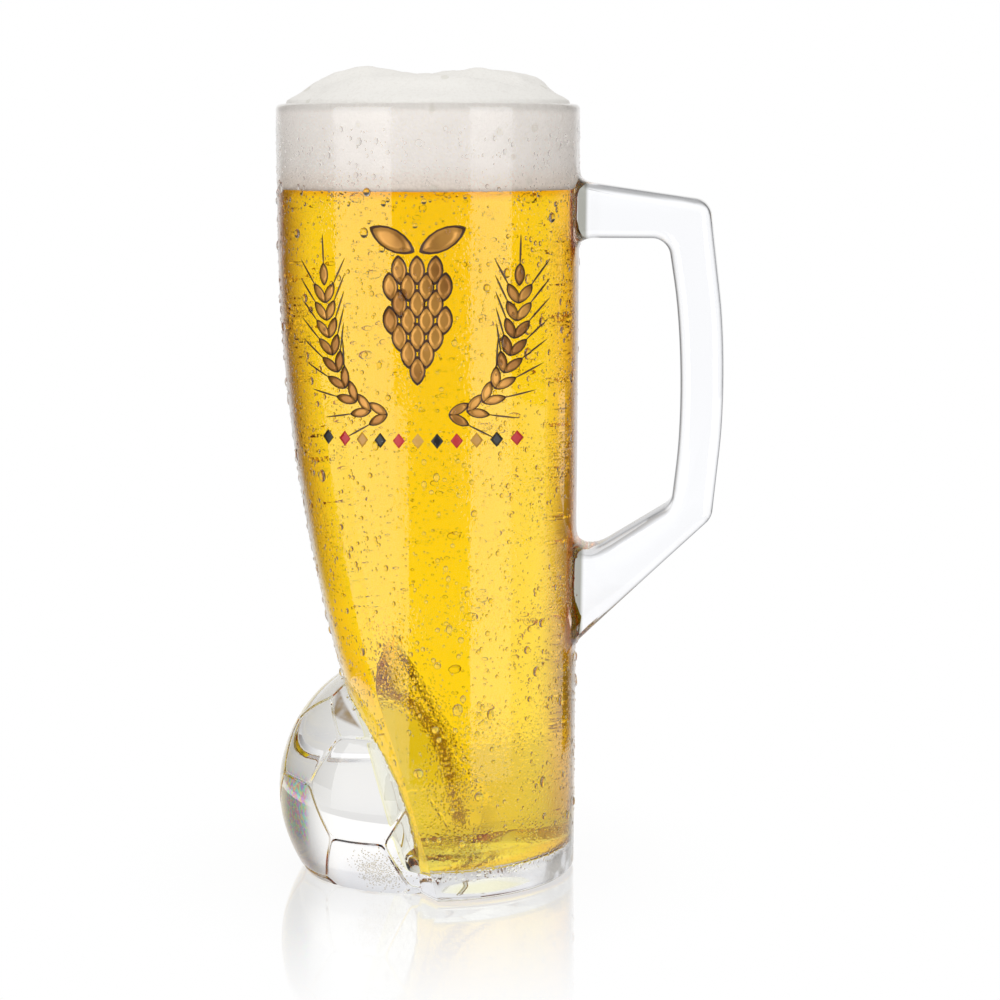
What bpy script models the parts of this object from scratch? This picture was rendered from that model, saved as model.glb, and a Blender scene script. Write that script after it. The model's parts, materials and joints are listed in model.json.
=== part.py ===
"""A tall pressed-glass beer mug whose foot is half mug and half football, filled with beer and foam.

Metres, +Z up. The origin is on the standing plane, on the axis of the round rim. The handle points
to +X, the ball lies at -X, and both sides of the XZ plane are alike.
"""

import math

import bmesh
import bpy
from mathutils import Vector

# Glass body: a round mug above, whose side at -X sweeps in towards the axis to leave room for the ball
HEIGHT = 0.1955
RIM_RADIUS = 0.0381
DRAFT = 0.0009
BASE_RADIUS = RIM_RADIUS - DRAFT
RIM_WALL = 0.0026
BASE_WALL = 0.0034
FLOOR = 0.006
SWEEP_START = 0.163
SWEEP_END = 0.050
SWEEP_RADIUS = 0.415
SIDE_RADIUS = 0.055
EDGE_START = 0.075
FOOT_ROUND = 0.0015
INNER_ROUND = 0.005

# Football moulded against the swept side
BALL_STEP = 0.0023
BALL_RADIUS = RIM_RADIUS - BALL_STEP
BALL_OFFSET = 0.0035
BALL_HEIGHT = 0.0203
SEAM_WIDTH = 0.0010
SEAM_DEPTH = 0.0004

# Handle, an angular loop of flat bar; heights are measured down from the rim, reaches out from the wall
HANDLE_WIDTH = 0.017
HANDLE_DROP = 0.0187
TOP_ARM = 0.0143
TOP_ARM_FALL = 0.0050
UPPER_CORNER_REACH = 0.0326
GRIP_REACH = 0.0378
GRIP_DROP = 0.0664
LOWER_CORNER_REACH = 0.0340
LOWER_CORNER_DROP = 0.1029
GRIP_WIDTH = 0.0102
FINGER_GAP_HEIGHT = 0.0665
LOWER_ROOT_TOP = 0.1154
LOWER_ROOT = 0.0220
CORNER_ROUND = 0.0045
GRIP_BOW = 0.170
ROOT_FILLET = 0.006
EDGE_ROUND = 0.0034

# Contents
FOAM_DEPTH = 0.0210
FOAM_RISE = 0.0088
FOAM_LOBE = 0.0005
FOAM_DIMPLE = 0.0010
FOAM_PROFILE = ((0.99, 0.11), (0.89, 0.33), (0.80, 0.66), (0.69, 0.90), (0.45, 1.0), (0.18, 0.93))

# Gap between pieces that touch
GAP = 0.0003

# Fineness of the round surfaces
SIDES = 48
WALL_LEVELS = 16
ROUND_STEPS = 4
PANEL_CUTS = 3
CORNER_STEPS = 6
SIDE_SHARE = 0.95
CREASE_ANGLE = math.radians(35)

# Looks of the materials: colour, roughness, transmission, refractive index
GLASS = ((0.95, 0.97, 0.96), 0.02, 1.0, 1.5)
BEER = ((0.95, 0.66, 0.06), 0.05, 0.9, 1.34)
FOAM = ((0.93, 0.90, 0.84), 0.7, 0.0, 1.3)


def wall_radius(z):
    """Outer radius of the round side, which tapers a little towards the foot."""
    return BASE_RADIUS + (RIM_RADIUS - BASE_RADIUS) * z / HEIGHT


def sweep_depth(z):
    """Distance from the axis to the swept side: a large arc downwards, then straight on to the foot."""
    below = max(SWEEP_START - max(z, SWEEP_END), 0)
    run = math.sqrt(SWEEP_RADIUS**2 - below**2)
    straight = max(SWEEP_END - z, 0) * below / run
    return wall_radius(z) - (SWEEP_RADIUS - run) - straight


def wall_thickness(z):
    return BASE_WALL + (RIM_WALL - BASE_WALL) * z / HEIGHT


def edge_share(z):
    """How far the edge between the round and the swept side is formed: 0 above, 1 beside the ball."""
    share = min(max((EDGE_START - z) / (EDGE_START - SWEEP_END), 0), 1)
    return share**2 * (3 - 2 * share)


def section(z, inset=0.0, scale=1.0):
    """One level's outline: round towards the handle, flatter towards the ball, with an edge low down."""
    share = edge_share(z)
    radius = wall_radius(z) - inset
    depth = sweep_depth(z) - inset
    middle = SIDE_RADIUS - sweep_depth(z)
    edge_x = share * (middle**2 + radius**2 - (SIDE_RADIUS - inset) ** 2) / (2 * middle)
    edge_y = math.sqrt(radius**2 - edge_x**2)
    arc_middle = (radius**2 - depth**2) / (2 * (depth + edge_x))
    edge_angle = math.acos(edge_x / radius)
    half = SIDES // 2
    ring = []
    for side in range(half + 1):
        angle = edge_angle * (2 * side / half - 1)
        ring.append(Vector((radius * math.cos(angle), radius * math.sin(angle), z)))
    for side in range(1, half):
        angle = math.pi * (0.5 - side / half)
        y = edge_y * math.sin(angle)
        ellipse_x = edge_x - (depth + edge_x) * math.cos(angle)
        arc_x = arc_middle - math.sqrt((arc_middle + depth) ** 2 - y**2)
        ring.append(Vector(((1 - share) * ellipse_x + share * arc_x, y, z)))
    return [Vector((scale * point.x, scale * point.y, z)) for point in ring]


def levels(low, high, count):
    return [low + (high - low) * step / count for step in range(count + 1)]


def outer_rings(inset, low, high):
    return [section(z, inset) for z in levels(low, high, WALL_LEVELS)]


def cavity_rings(gap):
    """The cavity's outline from its rounded bottom corner up to the beer line, less a gap all round."""
    rings = []
    for step in range(ROUND_STEPS):
        turn = 0.5 * math.pi * step / ROUND_STEPS
        pull = INNER_ROUND * (1 - math.sin(turn))
        z = FLOOR + gap + INNER_ROUND * (1 - math.cos(turn))
        inset = wall_thickness(z) + gap
        rings.append(section(z, inset, 1 - pull / (wall_radius(z) - inset)))
    for z in levels(FLOOR + INNER_ROUND, HEIGHT - FOAM_DEPTH, WALL_LEVELS):
        rings.append(section(z, wall_thickness(z) + gap))
    return rings


def neck_rings(gap, low, high):
    """The cavity's outline above the beer line, from low to high."""
    return [section(z, wall_thickness(z) + gap) for z in levels(low, high, ROUND_STEPS)]


def loft(rings):
    """A closed mesh through rings of as many points each, with both ends capped."""
    mesh = bmesh.new()
    loops = [[mesh.verts.new(point) for point in ring] for ring in rings]
    for lower, upper in zip(loops, loops[1:]):
        for side in range(SIDES):
            after = (side + 1) % SIDES
            mesh.faces.new((lower[side], lower[after], upper[after], upper[side]))
    bmesh.ops.triangulate(mesh, faces=mesh.faces[:], quad_method="SHORT_EDGE")
    mesh.faces.new(loops[0][::-1])
    mesh.faces.new(loops[-1])
    bmesh.ops.recalc_face_normals(mesh, faces=mesh.faces)
    return mesh


def new_object(name, mesh, collection):
    data = bpy.data.meshes.new(name)
    mesh.to_mesh(data)
    mesh.free()
    data.shade_smooth()
    data.set_sharp_from_angle(angle=CREASE_ANGLE)
    made = bpy.data.objects.new(name, data)
    collection.objects.link(made)
    return made


def finish(made, colour, roughness, transmission, ior):
    material = bpy.data.materials.new(made.name)
    material.use_nodes = True
    shader = material.node_tree.nodes["Principled BSDF"]
    shader.inputs["Base Color"].default_value = (*colour, 1)
    shader.inputs["Roughness"].default_value = roughness
    shader.inputs["Metallic"].default_value = 0.0
    shader.inputs["Transmission Weight"].default_value = transmission
    shader.inputs["IOR"].default_value = ior
    made.data.materials.append(material)


def cut_away(made, cutter):
    cut = made.modifiers.new("seat", "BOOLEAN")
    cut.operation = "DIFFERENCE"
    cut.object = cutter


def glass_body(collection):
    rings = []
    for step in range(ROUND_STEPS):
        turn = 0.5 * math.pi * step / ROUND_STEPS
        pull = FOOT_ROUND * (1 - math.sin(turn))
        rings.append(section(FOOT_ROUND * (1 - math.cos(turn)), 0, 1 - pull / BASE_RADIUS))
    half = RIM_WALL / 2
    rings += outer_rings(0, FOOT_ROUND, HEIGHT - half)
    for step in range(1, 2 * ROUND_STEPS):
        turn = math.pi * step / (2 * ROUND_STEPS)
        rings.append(section(HEIGHT - half + half * math.sin(turn), half * (1 - math.cos(turn))))
    inside = cavity_rings(0) + neck_rings(0, HEIGHT - FOAM_DEPTH, HEIGHT - half)[1:]
    rings += inside[::-1]
    return new_object("glass_body", loft(rings), collection)


def body_clearance(collection):
    """The space that the ball and the handle keep clear of: the body's outside and a gap."""
    rings = outer_rings(-GAP, FOOT_ROUND, HEIGHT - RIM_WALL / 2)
    below = [Vector((point.x, point.y, -FLOOR)) for point in rings[0]]
    made = new_object("body_clearance", loft([below] + rings), collection)
    made.hide_render = True
    made.display_type = "WIRE"
    return made


def football(collection, seat):
    """Twelve five-sided and twenty six-sided panels between sunk seams, standing on a flat."""
    mesh = bmesh.new()
    bmesh.ops.create_icosphere(mesh, subdivisions=1, radius=BALL_RADIUS)
    bmesh.ops.bevel(
        mesh, geom=mesh.verts[:], offset=100 / 3, offset_type="PERCENT", segments=1, affect="VERTICES"
    )
    sunk = mesh.verts.layers.float.new("sunk")
    panels = mesh.faces[:]
    seams = set(mesh.verts)
    bmesh.ops.inset_individual(mesh, faces=panels, thickness=SEAM_WIDTH / 2, use_even_offset=True)
    bmesh.ops.poke(mesh, faces=panels)
    for vertex in mesh.verts:
        vertex[sunk] = 1.0 if vertex in seams else 0.0
    long_edges = [edge for edge in mesh.edges if edge.calc_length() > 2 * SEAM_WIDTH]
    bmesh.ops.subdivide_edges(mesh, edges=long_edges, cuts=PANEL_CUTS, use_grid_fill=True)
    centre = Vector((-BALL_OFFSET, 0, BALL_HEIGHT))
    for vertex in mesh.verts:
        vertex.co = centre + vertex.co.normalized() * (BALL_RADIUS - SEAM_DEPTH * vertex[sunk])
    everything = mesh.verts[:] + mesh.edges[:] + mesh.faces[:]
    cut = bmesh.ops.bisect_plane(
        mesh, geom=everything, plane_co=(0, 0, 0), plane_no=(0, 0, 1), clear_inner=True
    )
    rim = [part for part in cut["geom_cut"] if isinstance(part, bmesh.types.BMEdge)]
    bmesh.ops.contextual_create(mesh, geom=rim)
    bmesh.ops.recalc_face_normals(mesh, faces=mesh.faces)
    made = new_object("football_foot", mesh, collection)
    cut_away(made, seat)
    return made


def rounded(corners):
    """The outline through corners given as (x, z, radius), each turned into an arc that fits its sides."""
    tips = [Vector(corner[:2]) for corner in corners]
    count = len(tips)
    openings = []
    tangents = []
    for place, tip in enumerate(tips):
        opening = (tips[place - 1] - tip).angle(tips[(place + 1) % count] - tip)
        openings.append(opening)
        tangents.append(corners[place][2] / math.tan(opening / 2))
    for place, tip in enumerate(tips):
        after = (place + 1) % count
        crowding = (tangents[place] + tangents[after]) / (SIDE_SHARE * (tips[after] - tip).length)
        if crowding > 1:
            tangents[place] /= crowding
            tangents[after] /= crowding
    points = []
    for place, tip in enumerate(tips):
        if tangents[place] == 0:
            points.append(tip)
            continue
        back = (tips[place - 1] - tip).normalized()
        ahead = (tips[(place + 1) % count] - tip).normalized()
        centre = tip + (back + ahead).normalized() * tangents[place] / math.cos(openings[place] / 2)
        start = tip + back * tangents[place] - centre
        sweep = start.angle_signed(tip + ahead * tangents[place] - centre)
        for step in range(CORNER_STEPS + 1):
            turn = -sweep * step / CORNER_STEPS
            across = start.x * math.cos(turn) - start.y * math.sin(turn)
            upward = start.x * math.sin(turn) + start.y * math.cos(turn)
            points.append(centre + Vector((across, upward)))
    return points


def handle_corners():
    """The loop's corners in the XZ plane, from its upper root round the outside and back inside."""
    top = HEIGHT - HANDLE_DROP
    under = top - TOP_ARM
    grip = HEIGHT - GRIP_DROP
    heel = HEIGHT - LOWER_CORNER_DROP
    crotch = HEIGHT - LOWER_ROOT_TOP
    tail = crotch - LOWER_ROOT
    out = RIM_RADIUS
    root = math.sqrt(wall_radius(tail) ** 2 - (HANDLE_WIDTH / 2) ** 2) - GAP
    deep = root - 2 * ROOT_FILLET
    spread = 2 * ROOT_FILLET
    outside = [
        (root, top + spread, 0),
        (root, top, ROOT_FILLET),
        (out + UPPER_CORNER_REACH, top - TOP_ARM_FALL, CORNER_ROUND),
        (out + GRIP_REACH, grip, GRIP_BOW),
        (out + LOWER_CORNER_REACH, heel, CORNER_ROUND),
        (root, tail, ROOT_FILLET),
        (root, tail - spread, 0),
        (deep, tail - spread, 0),
    ]
    inside = [
        (deep, crotch + spread, 0),
        (root, crotch + spread, 0),
        (root, crotch, ROOT_FILLET),
        (out + LOWER_CORNER_REACH - GRIP_WIDTH, under - FINGER_GAP_HEIGHT, CORNER_ROUND),
        (out + GRIP_REACH - GRIP_WIDTH, grip, GRIP_BOW),
        (out + UPPER_CORNER_REACH - GRIP_WIDTH, under, CORNER_ROUND),
        (root, under, ROOT_FILLET),
        (root, under - spread, 0),
        (deep, under - spread, 0),
        (deep, top + spread, 0),
    ]
    return outside + inside


def handle(collection, seat):
    curve = bpy.data.curves.new("handle_outline", "CURVE")
    curve.dimensions = "2D"
    curve.fill_mode = "BOTH"
    curve.extrude = HANDLE_WIDTH / 2 - EDGE_ROUND
    curve.bevel_depth = EDGE_ROUND
    curve.bevel_resolution = 2
    curve.offset = -EDGE_ROUND
    points = rounded(handle_corners())
    spline = curve.splines.new("POLY")
    spline.points.add(len(points) - 1)
    for place, point in zip(spline.points, points):
        place.co = (point.x, point.y, 0, 1)
    spline.use_cyclic_u = True
    outline = bpy.data.objects.new("handle_outline", curve)
    collection.objects.link(outline)
    outline.rotation_euler.x = math.pi / 2
    bpy.context.view_layer.update()
    solid = outline.evaluated_get(bpy.context.evaluated_depsgraph_get())
    mesh = bmesh.new()
    mesh.from_mesh(bpy.data.meshes.new_from_object(solid))
    mesh.transform(outline.matrix_world)
    bpy.data.objects.remove(outline)
    bmesh.ops.remove_doubles(mesh, verts=mesh.verts, dist=1e-6)
    bmesh.ops.recalc_face_normals(mesh, faces=mesh.faces)
    made = new_object("handle", mesh, collection)
    cut_away(made, seat)
    return made


def beer(collection):
    return new_object("beer", loft(cavity_rings(GAP)), collection)


def foam_head(collection):
    """Froth from the beer up to the rim, and a soft two-lobed dome that stands above it."""
    inset = wall_thickness(HEIGHT) + GAP
    rings = neck_rings(GAP, HEIGHT - FOAM_DEPTH + GAP, HEIGHT)
    rim = wall_radius(HEIGHT) - inset
    for share, rise in FOAM_PROFILE:
        ring = section(HEIGHT, inset, share)
        for point in ring:
            along = (point.x**2 - point.y**2) / rim**2
            point.z += FOAM_RISE * rise + FOAM_LOBE * along - FOAM_DIMPLE * (1 - share) ** 4
        rings.append(ring)
    return new_object("foam_head", loft(rings), collection)


def main():
    for made in list(bpy.data.objects):
        bpy.data.objects.remove(made)
    parts = bpy.data.collections.new("beer_mug")
    cutters = bpy.data.collections.new("cutters")
    bpy.context.scene.collection.children.link(parts)
    bpy.context.scene.collection.children.link(cutters)
    seat = body_clearance(cutters)
    finish(glass_body(parts), *GLASS)
    finish(football(parts, seat), *GLASS)
    finish(handle(parts, seat), *GLASS)
    finish(beer(parts), *BEER)
    finish(foam_head(parts), *FOAM)


main()
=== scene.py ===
# %% [markdown]
# A tall glass beer mug, filled and cold, on a white studio floor. One side of its foot is a
# football of solid glass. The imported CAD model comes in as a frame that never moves. Each piece
# below is modelled at its true place in that frame, in metres, and then stands for a CAD node.

# %% Load the frame
import json
import math
import random

import bmesh
import bpy
import numpy as np
from mathutils import Matrix, Vector

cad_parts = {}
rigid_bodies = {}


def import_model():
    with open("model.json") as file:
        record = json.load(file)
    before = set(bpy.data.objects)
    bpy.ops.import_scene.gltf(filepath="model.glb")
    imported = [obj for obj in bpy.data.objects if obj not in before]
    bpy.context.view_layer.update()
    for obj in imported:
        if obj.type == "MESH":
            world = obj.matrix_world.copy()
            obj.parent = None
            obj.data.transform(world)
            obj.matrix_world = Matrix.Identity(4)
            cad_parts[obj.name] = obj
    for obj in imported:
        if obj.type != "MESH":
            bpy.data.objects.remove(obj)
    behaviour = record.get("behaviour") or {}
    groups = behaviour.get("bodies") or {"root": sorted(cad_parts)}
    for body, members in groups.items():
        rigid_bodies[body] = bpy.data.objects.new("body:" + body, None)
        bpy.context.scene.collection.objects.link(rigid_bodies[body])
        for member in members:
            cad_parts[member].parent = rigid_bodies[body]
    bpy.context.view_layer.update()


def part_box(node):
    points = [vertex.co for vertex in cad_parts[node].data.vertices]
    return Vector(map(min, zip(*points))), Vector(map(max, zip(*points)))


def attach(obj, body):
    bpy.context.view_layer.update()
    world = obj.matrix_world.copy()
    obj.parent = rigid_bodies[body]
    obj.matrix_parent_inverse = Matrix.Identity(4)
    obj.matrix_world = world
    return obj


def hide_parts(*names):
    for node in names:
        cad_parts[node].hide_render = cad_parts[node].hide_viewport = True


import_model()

scene = bpy.context.scene
scene.view_settings.view_transform = "Standard"

# %% [markdown]
# The camera stands a little above the middle of the mug's height, 65 cm away, on a long lens,
# and looks down by eight degrees. Fitting the rim's and the foot's ellipses gave these numbers.

# %% The camera
EYE = (0.08577, -0.64376, 0.1883)
TILT = 8.15
TURN = 6.0
LENS = 92.2
SENSOR = 36
bpy.ops.object.select_all(action="DESELECT")
bpy.ops.object.camera_add(
    location=EYE, rotation=(math.radians(90 - TILT), 0, math.radians(TURN))
)
camera = bpy.context.object
camera.name = "studio_camera"
camera.data.lens = LENS
camera.data.sensor_width = SENSOR
scene.camera = camera
print("camera at", EYE, "lens", LENS)

# %% [markdown]
# Shader maths reads best as plain arithmetic. `Link` wraps the output of a node, and adding or
# multiplying links drops Math nodes into the same tree. `make` adds any other node: its settings
# go in first, because a Math or a Mix node changes its sockets with them, and the inputs follow.

# %% A socket that can be calculated with
class Link:
    def __init__(self, socket):
        self.socket = socket
        self.tree = socket.id_data

    def math(self, operation, first, second=0.0):
        return make(self.tree, "Math", {"operation": operation}, {0: first, 1: second})

    def __add__(self, other):
        return self.math("ADD", self, other)

    def __sub__(self, other):
        return self.math("SUBTRACT", self, other)

    def __rsub__(self, other):
        return self.math("SUBTRACT", other, self)

    def __mul__(self, other):
        return self.math("MULTIPLY", self, other)

    __radd__ = __add__
    __rmul__ = __mul__


def make(tree, kind, settings=None, inputs=None, output=0):
    node = tree.nodes.new("ShaderNode" + kind)
    for key, value in (settings or {}).items():
        setattr(node, key, value)
    for key, value in (inputs or {}).items():
        if isinstance(value, Link):
            tree.links.new(value.socket, node.inputs[key])
        else:
            node.inputs[key].default_value = value
    return Link(node.outputs[output])


def smooth(value, low, high):
    """Rises softly from 0 at low to 1 at high."""
    return make(
        value.tree, "MapRange", {"interpolation_type": "SMOOTHSTEP"},
        {"Value": value, "From Min": low, "From Max": high},
    )


def blend_colour(tree, factor, first, second):
    return make(tree, "Mix", {"data_type": "RGBA"}, {0: factor, 6: first, 7: second}, output=2)


def new_finish(name):
    """An empty material, its node tree and its output node."""
    finish = bpy.data.materials.new(name)
    finish.use_nodes = True
    tree = finish.node_tree
    tree.nodes.clear()
    return finish, tree, tree.nodes.new("ShaderNodeOutputMaterial")


print("shader helpers ready")

# %% [markdown]
# The studio has a white backdrop, and clear glass needs something darker beside it to show its
# edges. So what is seen through the glass is dark off to both sides, dimmer above and below the
# backdrop, and what is mirrored in its front is the dim room behind the camera. Matt surfaces, also
# those behind glass, are lit from the front, from above and from the backdrop, and less from the sides.
# Bearings are in radians off the line of view, heights are the upward part of a direction.

# %% The studio around it
BACKDROP = 1.085
HORIZON_DROP = 0.04
FRONT_EDGE = (1.9, 2.4)
RIGHT_EDGE = (0.42, 0.92)
LEFT_EDGE = (0.42, 0.88)
LEFT_SHIFT = 0.28
MIRROR_EDGE = (0.30, 0.75)
SIDE_GREY = 0.16
FRONT_GREY = 0.70
ABOVE_GREY = 0.60
BELOW_GREY = 0.45
ROOM_GREY = 0.03
FILL = 0.14
FRONT_FILL = 1.10
BACK_FILL = 0.8
TOP_FILL = 0.55
BOUNCES = 32
MATT_BOUNCES = 10
world = bpy.data.worlds.new("white_studio")
scene.world = world
world.use_nodes = True
tree = world.node_tree
tree.nodes.clear()
way = make(tree, "TexCoord")
parts = tree.nodes.new("ShaderNodeSeparateXYZ")
tree.links.new(way.socket, parts.inputs[0])
across, along, upward = (Link(parts.outputs[axis]) for axis in "XYZ")
from_view = across.math("ARCTAN2", across, along) + math.radians(TURN)
bearing = from_view.math("ABSOLUTE", from_view)
front = smooth(bearing, *FRONT_EDGE)
to_left = -1.0 * from_view - LEFT_SHIFT * smooth(upward, -0.16, -0.06)
flag = (smooth(from_view, *RIGHT_EDGE) + smooth(to_left, *LEFT_EDGE)) * (1.0 - front)
flag = flag * (1.0 - smooth(upward, 0.35, 0.8))
level = BACKDROP - HORIZON_DROP * smooth(upward, -0.2, -0.08)
level = level - (1.0 - SIDE_GREY) * flag - (1.0 - FRONT_GREY) * front
above = (1.0 - ABOVE_GREY) * smooth(upward, 0.30, 0.65)
below = (1.0 - BELOW_GREY) * (1.0 - smooth(upward, -0.55, -0.3))
backdrop = level * (1.0 - above - below)
room = ROOM_GREY + (1.0 - ROOM_GREY) * (1.0 - smooth(bearing, *MIRROR_EDGE))
room = room + 0.5 * smooth(upward, 0.45, 0.8)
room = room.math("MINIMUM", room, 1.0)
path = tree.nodes.new("ShaderNodeLightPath")
straight, mirrored, through, matt_before = (
    Link(path.outputs[ray])
    for ray in ("Is Camera Ray", "Is Glossy Ray", "Is Transmission Ray", "Diffuse Depth")
)
lit = matt_before.math("MINIMUM", matt_before, 1.0)
fill = FILL + FRONT_FILL * along.math("MAXIMUM", -1.0 * along, 0.0)
fill = fill + BACK_FILL * along.math("MAXIMUM", along, 0.0) + TOP_FILL * along.math("MAXIMUM", upward, 0.0)
seen = straight + mirrored * (1.0 - through) * room + through * backdrop
strength = lit * fill + (1.0 - lit) * seen
sky = make(tree, "Background", None, {"Color": (1, 1, 1, 1), "Strength": strength})
last = tree.nodes.new("ShaderNodeOutputWorld")
tree.links.new(sky.socket, last.inputs["Surface"])
scene.cycles.max_bounces = BOUNCES
scene.cycles.diffuse_bounces = MATT_BOUNCES
scene.cycles.transmission_bounces = BOUNCES
scene.cycles.glossy_bounces = BOUNCES
print("studio set")

# %% [markdown]
# Two tall softboxes stand in front, left and right of the camera. Their mirror images are the two
# pale bands down the whole glass, so their angles follow from where those bands lie. They reach
# below the table, because the lower half of the glass mirrors what lies lower. Low white cards beside
# them widen the bands there. Each is given by its bearing from the camera and its width, both in
# degrees, the height of its top, and its radiance.

# %% The lamps
LAMP_AWAY = 0.75
LAMP_LOW = -0.35
BOX_HIGH = 0.6
CARD_HIGH = 0.04
LAMPS = (
    ("box_left", -48.6, 46.4, BOX_HIGH, 2.4),
    ("box_right", 48.6, 33.6, BOX_HIGH, 2.4),
    ("card_left_near", -20.0, 10.8, CARD_HIGH, 2.0),
    ("card_left_far", -83.0, 22.4, CARD_HIGH, 1.6),
    ("card_right", 97.0, 63.2, CARD_HIGH, 1.2),
)


def softbox(name, bearing, degrees, high, radiance):
    """A lamp that faces the mug; only mirrors show it."""
    width = 2 * LAMP_AWAY * math.tan(math.radians(degrees / 2))
    tall = high - LAMP_LOW
    turn = math.radians(bearing + TURN)
    place = Vector((LAMP_AWAY * math.sin(turn), -LAMP_AWAY * math.cos(turn), (LAMP_LOW + high) / 2))
    bpy.ops.object.light_add(type="AREA", location=place)
    lamp = bpy.context.object
    lamp.name = name
    lamp.rotation_euler = (Vector((0, 0, place.z)) - place).to_track_quat("-Z", "Y").to_euler()
    lamp.data.shape = "RECTANGLE"
    lamp.data.size = width
    lamp.data.size_y = tall
    lamp.data.energy = radiance * math.pi * width * tall
    lamp.visible_camera = False
    lamp.visible_diffuse = False
    lamp.visible_transmission = False
    return lamp


boxes = [softbox(*numbers) for numbers in LAMPS]
print("lamps:", [round(lamp.data.energy, 2) for lamp in boxes], "W")

# %% [markdown]
# The mug stands on a round sheet of glossy white acrylic. It is white wherever it is looked at,
# a little darker through the glass, keeps some of the shadow, and mirrors the foot; the mirror fades
# away from the mug.

# %% The floor
TABLE_RADIUS = 0.15
TABLE_GAP = 0.0003
UNDER_GLASS = 0.79
ACRYLIC_INDEX = 1.45
MIRROR = 1.4
FADE_START = 0.03
bpy.ops.object.select_all(action="DESELECT")
bpy.ops.mesh.primitive_circle_add(vertices=96, radius=TABLE_RADIUS, fill_type="NGON")
floor = bpy.context.object
floor.name = "studio_floor"
bpy.ops.object.mode_set(mode="EDIT")
bpy.ops.mesh.select_all(action="SELECT")
bpy.ops.mesh.inset(thickness=TABLE_RADIUS / 2)
bpy.ops.mesh.select_all(action="SELECT")
bpy.ops.transform.translate(value=(0, 0, -TABLE_GAP))
bpy.ops.object.mode_set(mode="OBJECT")
finish, tree, out = new_finish("white_acrylic")
place = make(tree, "TexCoord", output=3)
matt = make(tree, "BsdfDiffuse", None, {"Color": (0.9, 0.9, 0.9, 1)})
from_mug = make(tree, "VectorMath", {"operation": "LENGTH"}, {0: place}, output=1)
path = tree.nodes.new("ShaderNodeLightPath")
straight, mirrored, through = (
    Link(path.outputs[ray]) for ray in ("Is Camera Ray", "Is Glossy Ray", "Is Transmission Ray")
)
seen = straight.math("MINIMUM", straight + mirrored + through, 1.0)
shine = seen * (0.92 + 0.08 * smooth(from_mug, FADE_START, 0.6 * TABLE_RADIUS))
white = blend_colour(tree, through, (1, 1, 1, 1), (UNDER_GLASS, UNDER_GLASS, UNDER_GLASS, 1))
glow = make(tree, "Emission", None, {"Color": white, "Strength": 1.0})
lit = make(tree, "MixShader", None, {0: shine, 1: matt, 2: glow})
gloss = make(tree, "BsdfGlossy", None, {"Color": (1, 1, 1, 1), "Roughness": 0.03})
facing = make(tree, "Fresnel", None, {"IOR": ACRYLIC_INDEX})
mirror = MIRROR * facing * (1.0 - smooth(from_mug, FADE_START, 0.9 * TABLE_RADIUS))
surface = make(tree, "MixShader", None, {0: mirror, 1: lit, 2: gloss})
tree.links.new(surface.socket, out.inputs["Surface"])
floor.data.materials.append(finish)
print("floor laid, radius", TABLE_RADIUS)

# %% [markdown]
# The mug is round at the rim. Low down, its side at -X sweeps in towards the axis, first on a large
# arc and then straight, so the section turns from a circle into a D with an edge on each side of the
# ball. These are the CAD model's own rules, with more points to a ring.

# %% Rules of the shape
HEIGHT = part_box("glass_body")[1].z
RIM_RADIUS = 0.0381
BASE_RADIUS = RIM_RADIUS - 0.0009
RIM_WALL = 0.0026
BASE_WALL = 0.0034
FLOOR = 0.006
SWEEP_START = 0.163
SWEEP_END = 0.050
SWEEP_RADIUS = 0.415
SIDE_RADIUS = 0.055
EDGE_START = 0.075
FOOT_ROUND = 0.0015
INNER_ROUND = 0.005
EDGE_SHIFT = 0.0028
EDGE_SOFT = 0.14
BEER_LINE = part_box("beer")[1].z
BALL_TOP = 0.060
SIDES = 192


def wall_radius(z):
    return BASE_RADIUS + (RIM_RADIUS - BASE_RADIUS) * z / HEIGHT


def sweep_depth(z):
    """From the axis to the swept side."""
    below = max(SWEEP_START - max(z, SWEEP_END), 0)
    run = math.sqrt(SWEEP_RADIUS**2 - below**2)
    return wall_radius(z) - (SWEEP_RADIUS - run) - max(SWEEP_END - z, 0) * below / run


def wall_thickness(z):
    return BASE_WALL + (RIM_WALL - BASE_WALL) * z / HEIGHT


def section(z, inset):
    """Radius, x and y of the edge, and the swept side's x for a y, at one level."""
    share = min(max((EDGE_START - z) / (EDGE_START - SWEEP_END), 0), 1)
    share = share**2 * (3 - 2 * share)
    radius = wall_radius(z) - inset
    depth = sweep_depth(z) - inset
    middle = SIDE_RADIUS - sweep_depth(z)
    edge_x = share * (middle**2 + radius**2 - (SIDE_RADIUS - inset) ** 2) / (2 * middle)
    edge_x -= share * EDGE_SHIFT * max(inset, 0) / BASE_WALL
    edge_y = math.sqrt(radius**2 - edge_x**2)
    arc_middle = (radius**2 - depth**2) / (2 * (depth + edge_x))

    def swept_x(y):
        ellipse = edge_x - (depth + edge_x) * math.sqrt(max(1 - (y / edge_y) ** 2, 0))
        arc = arc_middle - math.sqrt((arc_middle + depth) ** 2 - y**2)
        return (1 - share) * ellipse + share * arc

    return radius, edge_x, edge_y, swept_x


def ring(z, inset=0.0, pull=0.0):
    """The points of one level, drawn in evenly by pull, with the edge a little rounded."""
    radius, edge_x, edge_y, swept_x = section(z, inset)
    edge_angle = math.acos(edge_x / radius)
    half = SIDES // 2
    points = []
    for side in range(half + 1):
        angle = edge_angle * (2 * side / half - 1)
        points.append((radius * math.cos(angle), radius * math.sin(angle)))
    for side in range(1, half):
        y = edge_y * math.sin(math.pi * (0.5 - side / half))
        points.append((swept_x(y), y))
    flat = np.array(points)
    beside = np.roll(flat, 1, axis=0) + np.roll(flat, -1, axis=0)
    flat = EDGE_SOFT * beside + (1 - 2 * EDGE_SOFT) * flat
    flat *= 1 - pull / radius
    return [Vector((x, y, z)) for x, y in flat]


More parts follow.
